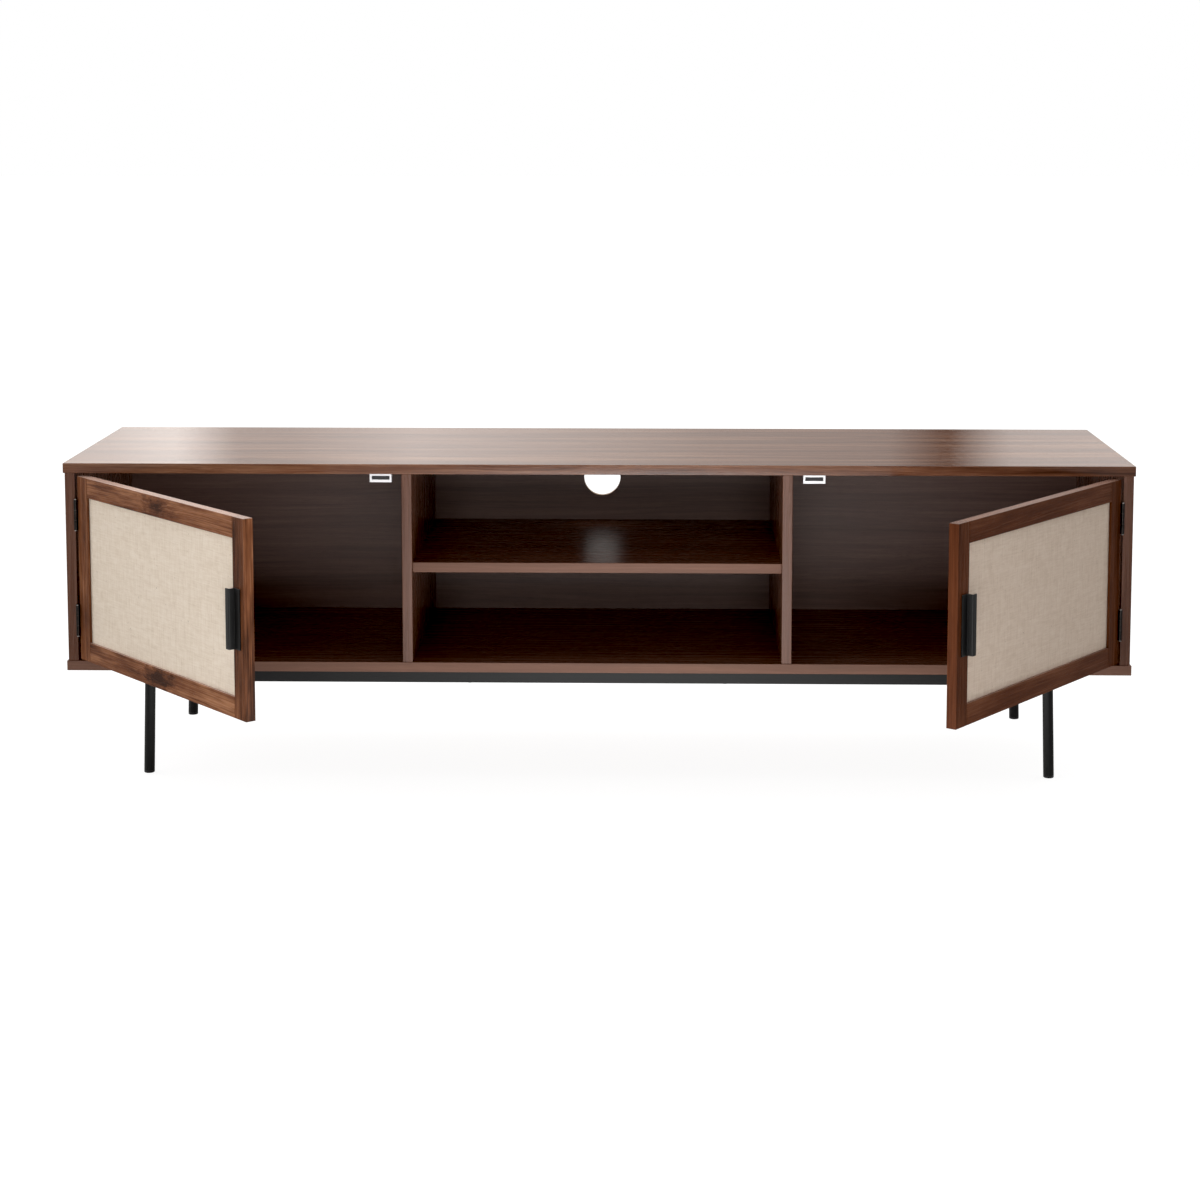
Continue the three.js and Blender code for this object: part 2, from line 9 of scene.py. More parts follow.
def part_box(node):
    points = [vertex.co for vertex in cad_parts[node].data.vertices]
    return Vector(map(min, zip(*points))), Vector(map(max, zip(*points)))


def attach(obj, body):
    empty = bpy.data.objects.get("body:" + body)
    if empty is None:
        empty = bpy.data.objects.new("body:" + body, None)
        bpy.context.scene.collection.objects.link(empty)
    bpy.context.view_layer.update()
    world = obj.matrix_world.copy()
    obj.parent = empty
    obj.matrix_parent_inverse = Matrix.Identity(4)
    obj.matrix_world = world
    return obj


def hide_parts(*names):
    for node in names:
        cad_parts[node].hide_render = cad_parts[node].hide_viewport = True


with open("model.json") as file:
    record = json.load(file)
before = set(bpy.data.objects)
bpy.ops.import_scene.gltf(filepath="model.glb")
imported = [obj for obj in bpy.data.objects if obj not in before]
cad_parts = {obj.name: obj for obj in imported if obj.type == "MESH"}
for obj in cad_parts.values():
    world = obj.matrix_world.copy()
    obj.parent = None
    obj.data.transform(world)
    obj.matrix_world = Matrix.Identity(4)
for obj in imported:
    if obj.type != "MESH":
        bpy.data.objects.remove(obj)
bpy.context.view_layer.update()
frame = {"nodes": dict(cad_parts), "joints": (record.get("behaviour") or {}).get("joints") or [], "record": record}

NODES = frame["nodes"]
SLOT_OF = {part["node"]: part["material_slot"] for part in frame["record"]["subparts"]}
MM = 0.001

# Sizes that the CAD solids don't carry.
LEAF_THICKNESS = 1.0 * MM
LEAF_SCREW_INSET = 6.5 * MM  # from the back edge of a hinge leaf
LEAF_SCREW_END = 8.5 * MM  # from the ends of a hinge leaf
SIDE_LEAF_FACE = -0.25 * MM  # from the hinge axis, towards the side panel
CATCH_SHEET = 1.2 * MM
THREAD_PITCH = 0.95 * MM  # of the linen, both ways
LINEN_TUCK = 6.0 * MM  # hidden in the frame's groove on all sides
LINEN_THICKNESS = 0.6 * MM
LINEN_GRID = (146, 77)  # cells across and up
LINEN_FADE = 4 * MM  # over which the raised threads fade out beside the frame
THREAD_LIFT = 0.07 * MM
SLACK_LIFT = 0.14 * MM
LEG_RADIUS = 8.0 * MM
HOLE_WALL = 30.2 * MM  # a radius just past the wall of the cable hole
CATCH_EAR_REACH = 20.25 * MM  # from the catch's middle to the slot in an ear
CATCH_SLOT_INSET = 6.5 * MM  # from the back of the catch
BACK_SCREW_END = 40 * MM  # from the back panel's lower and upper edge
FLOOR_REACH = 30  # from the middle of the studio floor to its edges

# Screw heads: radius and height.
HINGE_SCREW = (2.7 * MM, 0.25 * MM)
STRIKE_SCREW = (2.6 * MM, 0.3 * MM)
CATCH_SCREW = (3.0 * MM, 1.5 * MM)
BACK_SCREW = (3.6 * MM, 0.3 * MM)
BASE_SCREW = (4.2 * MM, 2.0 * MM)
HANDLE_SCREW_HEIGHT = 2.2 * MM
SCREW_SIDES = 28

# The flange of a shelf peg.
COLLAR_INNER = 2.55 * MM
COLLAR_OUTER = 4.2 * MM
COLLAR_THICKNESS = 1.0 * MM
COLLAR_CHAMFER = 0.4 * MM

# The fillet of weld at the top of a leg.
BEAD_AROUND = 96
BEAD_SECTION = 8
BEAD_RIPPLES = 22
BEAD_WIDTH = 1.2 * MM
BEAD_HEIGHT = 1.0 * MM
BEAD_STAND_OFF = 0.3 * MM
BEAD_DROP = 0.6 * MM
BEAD_SEED = 4.0 * MM

# Colours, linear: dark, middle and light.
WALNUT = ((0.062, 0.024, 0.014), (0.140, 0.058, 0.034), (0.235, 0.112, 0.072))
BACK_WALNUT = ((0.070, 0.036, 0.028), (0.142, 0.076, 0.060), (0.222, 0.132, 0.108))
TOP_WALNUT = ((0.070, 0.025, 0.013), (0.185, 0.077, 0.042), (0.340, 0.175, 0.100))
LEFT_FRAME = ((0.044, 0.016, 0.008), (0.178, 0.065, 0.029), (0.370, 0.172, 0.087))
# The right door's frame is a darker copy of the same walnut: painted shade for the dimmer light on that door.
SHADED_RIGHT_FRAME = ((0.038, 0.011, 0.005), (0.105, 0.034, 0.015), (0.205, 0.080, 0.040))
# A painted highlight: the tone that faces looking one way blend towards, in place of light and reflection falling
# on them.
PAINTED_HIGHLIGHT_TONE = (0.620, 0.440, 0.370)
BACKING = ((0.090, 0.038, 0.024), (0.130, 0.056, 0.036), (0.175, 0.082, 0.054))
LEFT_LINEN = ((0.665, 0.545, 0.420), (0.825, 0.707, 0.577), (0.920, 0.820, 0.705))
# The right linen is a darker copy of the same cloth: painted shade for the dimmer light on that door.
SHADED_RIGHT_LINEN = ((0.590, 0.458, 0.350), (0.730, 0.583, 0.466), (0.820, 0.692, 0.577))

# ---- Node trees -----------------------------------------------------------------------------------


class Graph:
    """Writes a shader node tree. The methods return output sockets."""

    def __init__(self, tree):
        self.tree = tree
        self.place = self.add("ShaderNodeTexCoord").outputs["Object"]

    def feed(self, socket, value):
        if isinstance(value, bpy.types.NodeSocket):
            self.tree.links.new(value, socket)
        else:
            socket.default_value = value

    def add(self, kind, **inputs):
        """A new node; an underscore in an input's name stands for a space."""
        node = self.tree.nodes.new(kind)
        for name, value in inputs.items():
            self.feed(node.inputs[name.replace("_", " ")], value)
        return node

    def math(self, operation, first, second=0.0, clamp=False):
        node = self.tree.nodes.new("ShaderNodeMath")
        node.operation = operation
        node.use_clamp = clamp
        self.feed(node.inputs[0], first)
        self.feed(node.inputs[1], second)
        return node.outputs[0]

    def weighted(self, *terms):
        """The sum of (socket, weight) pairs."""
        total = 0.0
        for socket, weight in terms:
            total = self.math("ADD", self.math("MULTIPLY", socket, weight), total)
        return total

    def vector_math(self, operation, first, second=None):
        node = self.tree.nodes.new("ShaderNodeVectorMath")
        node.operation = operation
        self.feed(node.inputs[0], first)
        if second is not None:
            self.feed(node.inputs[1], second)
        return node.outputs["Value" if operation in ("LENGTH", "DOT_PRODUCT") else "Vector"]

    def above(self, value, level, slope):
        """0 below a level, rising to 1 above it."""
        return self.math("MULTIPLY", self.math("SUBTRACT", value, level), slope, clamp=True)

    def turned(self, place, rotation, shift=(0, 0, 0)):
        return self.add("ShaderNodeMapping", Vector=place, Rotation=rotation, Location=shift).outputs[0]

    def noise(self, place, per_metre, detail=3.0, roughness=0.55):
        """Noise with about that many features in a metre along each axis."""
        stretched = self.add("ShaderNodeMapping", Vector=place, Scale=per_metre).outputs[0]
        settings = {"Scale": 1.0, "Detail": detail, "Roughness": roughness}
        return self.add("ShaderNodeTexNoise", Vector=stretched, **settings).outputs["Fac"]

    def parts(self, vector):
        return self.add("ShaderNodeSeparateXYZ", Vector=vector).outputs

    def vector(self, x, y, z):
        return self.add("ShaderNodeCombineXYZ", X=x, Y=y, Z=z).outputs[0]

    def ramp(self, factor, *stops):
        """A colour ramp of (position, colour) stops."""
        node = self.add("ShaderNodeValToRGB", Fac=factor)
        elements = node.color_ramp.elements
        elements.remove(elements[1])
        elements[0].position = stops[0][0]
        elements[0].color = (*stops[0][1], 1)
        for position, colour in stops[1:]:
            elements.new(position).color = (*colour, 1)
        return node.outputs["Color"]

    def blend(self, factor, first, second, mode="MIX"):
        node = self.tree.nodes.new("ShaderNodeMix")
        node.data_type = "RGBA"
        node.blend_type = mode
        self.feed(node.inputs[0], factor)
        for socket, colour in ((node.inputs[6], first), (node.inputs[7], second)):
            self.feed(socket, colour if isinstance(colour, bpy.types.NodeSocket) else (*colour, 1))
        return node.outputs[2]

    def bump(self, height, depth):
        return self.add("ShaderNodeBump", Height=height, Distance=depth, Strength=1.0).outputs[0]

    def edges(self, radius, gain=2.5):
        """1 along edges and 0 on flat faces."""
        rounded = self.add("ShaderNodeBevel", Radius=radius).outputs[0]
        flat = self.add("ShaderNodeNewGeometry").outputs["Normal"]
        turned = self.math("SUBTRACT", 1.0, self.vector_math("DOT_PRODUCT", rounded, flat))
        return self.math("MULTIPLY", turned, gain, clamp=True)


class Surface(Graph):
    """A material around one Principled shader."""

    def __init__(self, name):
        self.material = bpy.data.materials.new(name)
        self.material.use_nodes = True
        super().__init__(self.material.node_tree)

    def finish(self, **inputs):
        """Feeds the shader and returns the material."""
        shader = self.tree.nodes["Principled BSDF"]
        for name, value in inputs.items():
            self.feed(shader.inputs[name.replace("_", " ")], value)
        return self.material


# ---- Wood -----------------------------------------------------------------------------------------

GRAIN_ALONG = {
    "x": (0, 0, 0),
    "z": (0, math.pi / 2, 0),
}
KNOT_PUSH = 7 * MM  # how far the grain bends round a knot


def band_ends(graph, place):
    """Turns the grain along Y on faces that look along X, as edge banding does."""
    x, y, z = graph.parts(place)
    facing, _, _ = graph.parts(graph.add("ShaderNodeNewGeometry").outputs["Normal"])
    ends = graph.math("GREATER_THAN", graph.math("ABSOLUTE", facing), 0.7)
    return graph.blend(ends, place, graph.vector(y, x, z))


def grain_place(graph, turn, seed, sway, knot, banded):
    """Coordinates with the grain along X, swaying sideways by about that many metres, and the knot's mask."""
    straight = graph.turned(graph.place, turn, (seed * 3.1, seed * 1.7, seed * 0.7))
    if banded:
        straight = band_ends(graph, straight)
    drift = graph.math("SUBTRACT", graph.noise(straight, (1.3, 7, 7), detail=2), 0.5)
    sideways = graph.math("MULTIPLY", drift, sway)
    core = 0.0
    if knot:
        core = knot_mask(graph, turn, knot)
        sideways = graph.math("ADD", sideways, graph.math("MULTIPLY", core, KNOT_PUSH))
    x, y, z = graph.parts(straight)
    return graph.vector(x, graph.math("ADD", y, sideways), graph.math("ADD", z, sideways)), core


def knot_mask(graph, turn, centre):
    """1 in the middle of a dark cloud round a knot, falling to 0 about 60 mm along the grain and 20 mm
    across it."""
    offset = graph.vector_math("SUBTRACT", graph.place, centre)
    along_grain = graph.turned(offset, turn)
    shares = graph.add("ShaderNodeMapping", Vector=along_grain, Scale=(16, 50, 50)).outputs[0]
    ragged = graph.math("MULTIPLY", graph.noise(graph.place, (60, 60, 60), detail=4), 1.2)
    reach = graph.math("ADD", graph.vector_math("LENGTH", shares), ragged)
    return graph.math("SUBTRACT", 1.55, reach, clamp=True)


def wood(name, turn, seed, tones, patchy=0.0, spread=0.15, sway=0.05, shine=0.27, uneven=0.12, specular=0.4,
         lift=0.0, knot=None, raw_hole=None, banded=False, pale=None):
    """Walnut with its grain turned along the piece.

    patchy adds darker and lighter stretches, a smaller spread more contrast, and uneven more difference in
    gloss between the streaks. lift brightens the whole piece, banded turns the grain on its ends, and pale
    is a direction and a share: faces that look that way blend towards PAINTED_HIGHLIGHT_TONE by that share,
    a painted highlight. knot is the middle of a knot, and raw_hole the middle and radius of a sawn hole.
    """
    graph = Surface(name)
    place, core = grain_place(graph, turn, seed, sway, knot, banded)
    bands = graph.noise(place, (1.0, 36, 36), detail=3, roughness=0.6)
    streaks = graph.noise(place, (4.0, 210, 210), detail=3, roughness=0.6)
    fibres = graph.noise(place, (26, 1000, 1000), detail=2)
    pores = graph.above(graph.noise(place, (70, 2600, 2600), detail=1), 0.60, 7)
    tone = graph.weighted((bands, 0.46), (streaks, 0.36), (fibres, 0.18))
    if patchy > 0:
        stretches = graph.noise(place, (7, 26, 26), detail=3, roughness=0.6)
        threads = graph.noise(place, (9, 480, 480), detail=3, roughness=0.65)
        tone = graph.weighted((tone, 1 - patchy), (stretches, patchy * 0.56), (threads, patchy * 0.44))
    if knot:
        tone = graph.math("SUBTRACT", tone, graph.math("MULTIPLY", core, 0.15))
    tone = graph.math("ADD", tone, lift)
    dark, middle, light = tones
    colour = graph.ramp(tone, (0.50 - spread, dark), (0.50, middle), (0.50 + spread, light))
    colour = graph.blend(graph.math("MULTIPLY", pores, 0.45), colour, dark)
    # Edges blend a little towards the light tone: a painted highlight along the arrises, and partly wear.
    colour = graph.blend(graph.math("MULTIPLY", graph.edges(0.9 * MM), 0.25), colour, light)
    # Painted highlight: faces that look one way are blended paler, as if light fell on them.
    if pale:
        facing, share = pale
        normal = graph.add("ShaderNodeNewGeometry").outputs["Normal"]
        towards = graph.above(graph.vector_math("DOT_PRODUCT", normal, facing), 0.6, 5)
        colour = graph.blend(graph.math("MULTIPLY", towards, share), colour, PAINTED_HIGHLIGHT_TONE)
    height = graph.weighted((fibres, 0.5), (streaks, 0.5), (pores, -0.8))
    roughness = graph.weighted((streaks, uneven), (pores, 0.15))
    roughness = graph.math("ADD", roughness, shine - uneven / 2)
    if raw_hole:
        cut = raw_board(graph, *raw_hole)
        colour = graph.blend(cut, colour, (0.36, 0.25, 0.16))
        roughness = graph.math("ADD", roughness, graph.math("MULTIPLY", cut, 0.5))
    return graph.finish(
        Base_Color=colour,
        Roughness=roughness,
        Normal=graph.bump(height, 0.022 * MM),
        Specular_IOR_Level=specular,
    )


def raw_board(graph, centre, radius):
    """1 on the sawn wall of a hole along Y, 0 elsewhere."""
    x, _, z = graph.parts(graph.place)
    across = graph.math("SUBTRACT", x, centre.x)
    up = graph.math("SUBTRACT", z, centre.z)
    squares = graph.math("ADD", graph.math("MULTIPLY", across, across), graph.math("MULTIPLY", up, up))
    return graph.math("LESS_THAN", graph.math("SQRT", squares), radius)


# ---- Linen ----------------------------------------------------------------------------------------


def linen(name, turn, tones):
    """Plain weave with uneven threads, slubs and a few dark flecks."""
    graph = Surface(name)
    place = graph.turned(graph.place, turn)
    x, _, z = graph.parts(place)
    waver_x = graph.math("MULTIPLY", graph.noise(place, (240, 1, 24), detail=1), 1.1)
    waver_z = graph.math("MULTIPLY", graph.noise(place, (24, 1, 240), detail=1), 1.1)
    warp_count = graph.math("ADD", graph.math("DIVIDE", x, THREAD_PITCH), waver_x)
    weft_count = graph.math("ADD", graph.math("DIVIDE", z, THREAD_PITCH), waver_z)
    warp_turn = graph.math("MULTIPLY", warp_count, math.pi)
    weft_turn = graph.math("MULTIPLY", weft_count, math.pi)
    warp_wave = graph.math("SINE", warp_turn)
    weft_wave = graph.math("SINE", weft_turn)
    over = graph.math("MULTIPLY", warp_wave, weft_wave)
    warp_high = graph.math("ADD", graph.math("MULTIPLY", over, 0.5), 0.5)
    warp = graph.math("MULTIPLY", graph.math("ABSOLUTE", warp_wave), warp_high)
    weft = graph.math("MULTIPLY", graph.math("ABSOLUTE", weft_wave), graph.math("SUBTRACT", 1.0, warp_high))
    weave = graph.math("MAXIMUM", warp, weft)
    warp_tone = graph.noise(place, (600, 1, 38), detail=2)
    weft_tone = graph.noise(place, (38, 1, 600), detail=2)
    warp_slub = graph.above(graph.noise(place, (330, 1, 46), detail=1), 0.64, 6)
    weft_slub = graph.above(graph.noise(place, (46, 1, 330), detail=1), 0.64, 6)
    cloudy = graph.noise(place, (110, 1, 110), detail=3)
    tone = graph.weighted((warp_tone, 0.32), (weft_tone, 0.32), (weave, 0.22), (cloudy, 0.24))
    dark, middle, light = tones
    colour = graph.ramp(tone, (0.30, dark), (0.52, middle), (0.72, light))
    slubs = graph.math("MAXIMUM", warp_slub, weft_slub)
    colour = graph.blend(graph.math("MULTIPLY", slubs, 0.35), colour, light)
    flecks = graph.above(graph.noise(place, (260, 1, 260), detail=1), 0.745, 12)
    colour = graph.blend(graph.math("MULTIPLY", flecks, 0.6), colour, (0.26, 0.17, 0.10))
    height = graph.weighted((weave, 0.8), (slubs, 0.5), (cloudy, 0.4))
    return graph.finish(
        Base_Color=colour,
        Roughness=0.92,
        Normal=graph.bump(height, 0.35 * MM),
        Specular_IOR_Level=0.25,
        Sheen_Weight=0.12,
        Sheen_Roughness=0.5,
    )


# ---- Metals, plastic and board ----------------------------------------------------------------------


def powder_coat(name):
    """Matt black powder coat: fine orange peel, a little greyer along edges."""
    graph = Surface(name)
    peel = graph.noise(graph.place, (1600, 1600, 1600), detail=2)
    patches = graph.noise(graph.place, (18, 18, 18), detail=3)
    colour = graph.ramp(patches, (0.3, (0.006, 0.006, 0.006)), (0.7, (0.010, 0.010, 0.010)))
    colour = graph.blend(graph.math("MULTIPLY", graph.edges(0.6 * MM), 0.35), colour, (0.05, 0.05, 0.052))
    roughness = graph.math("ADD", graph.weighted((patches, 0.12), (peel, 0.08)), 0.36)
    return graph.finish(
        Base_Color=colour,
        Roughness=roughness,
        Normal=graph.bump(peel, 0.03 * MM),
        Specular_IOR_Level=0.35,
    )


def plated(name, low, high, roughness, brushed=(40, 900, 900)):
    """Plated metal with fine brush lines, duller patches and paler edges, partly wear and partly a painted
    highlight.
    """
    graph = Surface(name)
    lines = graph.noise(graph.place, brushed, detail=3)
    patches = graph.noise(graph.place, (60, 60, 60), detail=4)
    colour = graph.ramp(graph.weighted((lines, 0.5), (patches, 0.5)), (0.35, low), (0.65, high))
    # Edges blend towards a lighter tone: wear and a painted highlight.
    bright = tuple(min(1.0, level * 1.35) for level in high)
    colour = graph.blend(graph.math("MULTIPLY", graph.edges(0.3 * MM), 0.6), colour, bright)
    rough = graph.math("ADD", graph.weighted((lines, 0.14), (patches, 0.16)), roughness - 0.15)
    return graph.finish(
        Base_Color=colour,
        Metallic=1.0,
        Roughness=rough,
        Normal=graph.bump(lines, 0.01 * MM),
    )


def moulded_plastic(name):
    graph = Surface(name)
    grain = graph.noise(graph.place, (900, 900, 900), detail=3)
    colour = graph.ramp(grain, (0.3, (0.010, 0.010, 0.011)), (0.7, (0.020, 0.020, 0.021)))
    roughness = graph.math("ADD", graph.math("MULTIPLY", grain, 0.2), 0.45)
    return graph.finish(Base_Color=colour, Roughness=roughness, Normal=graph.bump(grain, 0.04 * MM))


def ferrite(name):
    graph = Surface(name)
    specks = graph.noise(graph.place, (1500, 1500, 1500), detail=4)
    colour = graph.ramp(specks, (0.35, (0.016, 0.016, 0.018)), (0.65, (0.045, 0.045, 0.050)))
    roughness = graph.math("ADD", graph.math("MULTIPLY", specks, 0.3), 0.40)
    return graph.finish(Base_Color=colour, Roughness=roughness, Normal=graph.bump(specks, 0.05 * MM))


def shadowed_recess(name):
    """The bottom of a screw's cross recess, painted dark as shade in the hollow."""
    graph = Surface(name)
    recess_shade = graph.noise(graph.place, (700, 700, 700), detail=3)
    colour = graph.ramp(recess_shade, (0.3, (0.012, 0.011, 0.010)), (0.7, (0.05, 0.048, 0.045)))
    roughness = graph.math("ADD", graph.math("MULTIPLY", recess_shade, 0.3), 0.5)
    return graph.finish(Base_Color=colour, Roughness=roughness)


# ---- Door frames of reference -----------------------------------------------------------------------


class Door:
    """One door's own frame: distance from the hinge axis across the closed door, depth, and height."""

    def __init__(self, side):
        self.side = side
        self.body = f"{side}_door"
        joint = next(j for j in frame["joints"] if j["child"] == self.body)
        self.inward = 1 if side == "left" else -1
        self.turn = -self.inward * math.radians(-joint["range_deg"][0])
        x, y, _ = joint["pos_m"]
        self.matrix = Matrix.Translation((x, y, 0)) @ Matrix.Rotation(self.turn, 4, "Z")
        self.shut = Matrix.Translation((x, y, 0))

    def point(self, distance, depth, height, shut=False):
        """A place in the row frame; shut leaves the door's turn out, for what stays on the carcass."""
        return (self.shut if shut else self.matrix) @ Vector((self.inward * distance, depth, height))

    def direction(self, distance, depth, shut=False):
        matrix = self.shut if shut else self.matrix
        return (matrix.to_3x3() @ Vector((self.inward * distance, depth, 0))).normalized()

    def box(self, node, shut=False):
        """A node's lowest and highest corner in this frame."""
        inverse = (self.shut if shut else self.matrix).inverted()
        places = [inverse @ vertex.co for vertex in NODES[node].data.vertices]
        places = [Vector((self.inward * p.x, p.y, p.z)) for p in places]
        low = Vector(min(p[axis] for p in places) for axis in range(3))
        high = Vector(max(p[axis] for p in places) for axis in range(3))
        return low, high

    def middle(self, node):
        """The middle of a node's front face, in the row frame."""
        low, high = self.box(node)
        return self.point((low.x + high.x) / 2, low.y, (low.z + high.z) / 2)


DOORS = [Door("left"), Door("right")]

# ---- The CAD nodes --------------------------------------------------------------------------------

FACET_GAP = 0.005 * MM  # corners of facets that are closer than this are one corner


def facet_joiner():
    """Geometry nodes that join a node's loose facets and drop their flat normals."""
    tree = bpy.data.node_groups.new("join_facets", "GeometryNodeTree")
    tree.interface.new_socket("Geometry", in_out="INPUT", socket_type="NodeSocketGeometry")
    tree.interface.new_socket("Geometry", in_out="OUTPUT", socket_type="NodeSocketGeometry")
    source = tree.nodes.new("NodeGroupInput")
    drop = tree.nodes.new("GeometryNodeRemoveAttribute")
    drop.inputs["Name"].default_value = "custom_normal"
    merge = tree.nodes.new("GeometryNodeMergeByDistance")
    merge.inputs["Distance"].default_value = FACET_GAP
    result = tree.nodes.new("NodeGroupOutput")
    for first, second in ((source, drop), (drop, merge), (merge, result)):
        tree.links.new(first.outputs[0], second.inputs[0])
    return tree


def smoother(name, limit):
    """Geometry nodes that shade smooth, except across edges sharper than the limit in degrees."""
    tree = bpy.data.node_groups.new(name, "GeometryNodeTree")
    tree.interface.new_socket("Geometry", in_out="INPUT", socket_type="NodeSocketGeometry")
    tree.interface.new_socket("Geometry", in_out="OUTPUT", socket_type="NodeSocketGeometry")
    source = tree.nodes.new("NodeGroupInput")
    faces = tree.nodes.new("GeometryNodeSetShadeSmooth")
    edges = tree.nodes.new("GeometryNodeSetShadeSmooth")
    edges.domain = "EDGE"
    angle = tree.nodes.new("GeometryNodeInputMeshEdgeAngle")
    blunt = tree.nodes.new("FunctionNodeCompare")
    blunt.operation = "LESS_THAN"
    blunt.inputs[1].default_value = math.radians(limit)
    result = tree.nodes.new("NodeGroupOutput")
    tree.links.new(angle.outputs["Unsigned Angle"], blunt.inputs[0])
    tree.links.new(blunt.outputs[0], edges.inputs["Shade Smooth"])
    for first, second in ((source, faces), (faces, edges), (edges, result)):
        tree.links.new(first.outputs[0], second.inputs[0])
    return tree


JOIN = facet_joiner()
SMOOTH = {limit: smoother(f"smooth_{limit}", limit) for limit in (40, 50)}

# Slot: (rounding of sharp edges in metres, shading limit in degrees).
FINISHING = {
    "walnut_board": (0, 50),
    "walnut_frame": (0, 50),
    "door_backing": (0.3 * MM, 40),
    "black_coat": (0.5 * MM, 40),
    "glide_plastic": (0.3 * MM, 40),
    "hinge_steel": (0.15 * MM, 40),
    "bright_steel": (0.12 * MM, 40),
    "catch_aluminium": (0.25 * MM, 40),
    "magnet_ferrite": (0.25 * MM, 40),
    "linen": (0, 40),
}


def dress(obj, material, rounding, limit):
    """Gives a CAD node its material, rounded edges and smooth shading."""
    obj.data.materials[0] = material
    obj.modifiers.new("join facets", "NODES").node_group = JOIN
    if rounding > 0:
        bevel = obj.modifiers.new("round edges", "BEVEL")
        bevel.width = rounding
        bevel.segments = 2
        bevel.limit_method = "ANGLE"
        bevel.angle_limit = math.radians(45)
    obj.modifiers.new("smooth", "NODES").node_group = SMOOTH[limit]
    weighted = obj.modifiers.new("flat faces", "WEIGHTED_NORMAL")
    weighted.keep_sharp = True


def board_materials():
    """One walnut for each board, so that no two boards have the same figure.

    The top is lighter and glossier. The front edges of bottom panel and shelf are painted paler, a painted
    sheen in place of their reflection, and the back is greyer and duller.
    """
    along_x = ("top_panel", "bottom_panel", "middle_shelf", "back_panel")
    boards = sorted(node for node, slot in SLOT_OF.items() if slot == "walnut_board")
    made = {}
    for seed, node in enumerate(boards, start=1):
        turn = GRAIN_ALONG["x" if node in along_x else "z"]
        name = f"walnut_{node}"
        if node == "top_panel":
            made[node] = wood(
                name, turn, seed, TOP_WALNUT, spread=0.13, shine=0.08, uneven=0.13, specular=0.5, banded=True,
            )
        elif node == "back_panel":
            made[node] = wood(
                name, turn, seed, BACK_WALNUT, spread=0.24, shine=0.48, specular=0.7, raw_hole=cable_hole(),
            )
        elif node == "bottom_panel":
            # The front faces are blended paler: a painted sheen in place of reflection.
            made[node] = wood(
                name, turn, seed, WALNUT, spread=0.26, specular=0.05, banded=True, pale=((0, -1, 0), 0.17),
            )
        elif node == "middle_shelf":
            # The front faces are blended paler: a painted sheen in place of reflection.
            made[node] = wood(name, turn, seed, WALNUT, spread=0.26, specular=0.08, pale=((0, -1, 0), 0.14))
        else:
            made[node] = wood(name, turn, seed, WALNUT, spread=0.20)
    return made


def cable_hole():
    """The middle of the hole in the back panel, and a radius just past its wall."""
    opening = next(o for o in frame["record"]["physics"]["openings"] if o["name"] == "cable_hole")
    low, high = (Vector(corner) for corner in opening["box_m"])
    return (low + high) / 2, HOLE_WALL


# How much lighter or darker each bar is than its door's other bars.
BAR_LIFT = {
    "left": {"hinge_stile": 0.02, "handle_stile": -0.045, "top_rail": 0.01, "bottom_rail": -0.01},
    "right": {"hinge_stile": -0.04, "handle_stile": -0.03, "top_rail": 0.0, "bottom_rail": 0.02},
}


def bar_materials():
    """One walnut for each bar of the doors, with its grain along the bar.

    The left door's rails have knots, and the upward faces of all bars are painted paler as a highlight. The right
    door's bars take a darker copy of the walnut, as painted shade.
    """
    made = {}
    for door in DOORS:
        along_door = (0, 0, -door.turn)
        bars = {
            "hinge_stile": GRAIN_ALONG["z"],
            "handle_stile": GRAIN_ALONG["z"],
            "top_rail": along_door,
            "bottom_rail": along_door,
        }
        left = door.side == "left"
        for index, (bar, turn) in enumerate(bars.items(), start=1):
            node = f"{door.body}_{bar}"
            made[node] = wood(
                f"walnut_{node}",
                turn,
                10 * index + (3 if left else 7),
                # The right door takes the darker copy of the frame walnut: painted shade.
                LEFT_FRAME if left else SHADED_RIGHT_FRAME,
                patchy=0.75 if left else 0.5,
                spread=0.10 if left else 0.15,
                sway=0.02,
                shine=0.26,
                specular=0.10 if left else 0.05,
                lift=BAR_LIFT[door.side][bar],
                # Upward faces blended paler: a painted highlight where light catches the tops of the bars.
                pale=((0, 0, 1), 0.6 if left else 0.2),
                knot=door.middle(node) if left and turn is along_door else None,
            )
    return made


def dress_nodes(shared):
    own = {**board_materials(), **bar_materials()}
    for node, obj in NODES.items():
        slot = SLOT_OF[node]
        dress(obj, own.get(node) or shared[slot], *FINISHING[slot])


# ---- New pieces -------------------------------------------------------------------------------------


def add_piece(name, shape, materials, body):
    """Makes an object in the row frame from a bmesh, and lets it ride on a body."""
    mesh = bpy.data.meshes.new(name)
    bmesh.ops.recalc_face_normals(shape, faces=shape.faces)
    shape.to_mesh(mesh)
    shape.free()
    for material in materials:
        mesh.materials.append(material)
    obj = bpy.data.objects.new(name, mesh)
    bpy.context.scene.collection.objects.link(obj)
    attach(obj, body)
    return obj


def ring(shape, radius, level, count):
    angles = (2 * math.pi * step / count for step in range(count))
    return [shape.verts.new((radius * math.cos(a), radius * math.sin(a), level)) for a in angles]


def skirt(shape, lower, upper):
    """Faces between two closed loops of equal length."""
    count = len(lower)
    faces = []
    for step in range(count):
        after = (step + 1) % count
        faces.append(shape.faces.new((lower[step], lower[after], upper[after], upper[step])))
    return faces


def loop_edges(shape, loop):
    return [shape.edges.get((loop[step - 1], loop[step])) for step in range(len(loop))]


def cross_loop(shape, reach, half, level):
    """A plus-shaped outline."""
    arm = [(half, half), (half, reach), (-half, reach)]
    corners = []
    for quarter in range(4):
        spin = Matrix.Rotation(quarter * math.pi / 2, 2)
        corners += [spin @ Vector(point) for point in arm]
    return [shape.verts.new((x, y, level)) for x, y in corners]


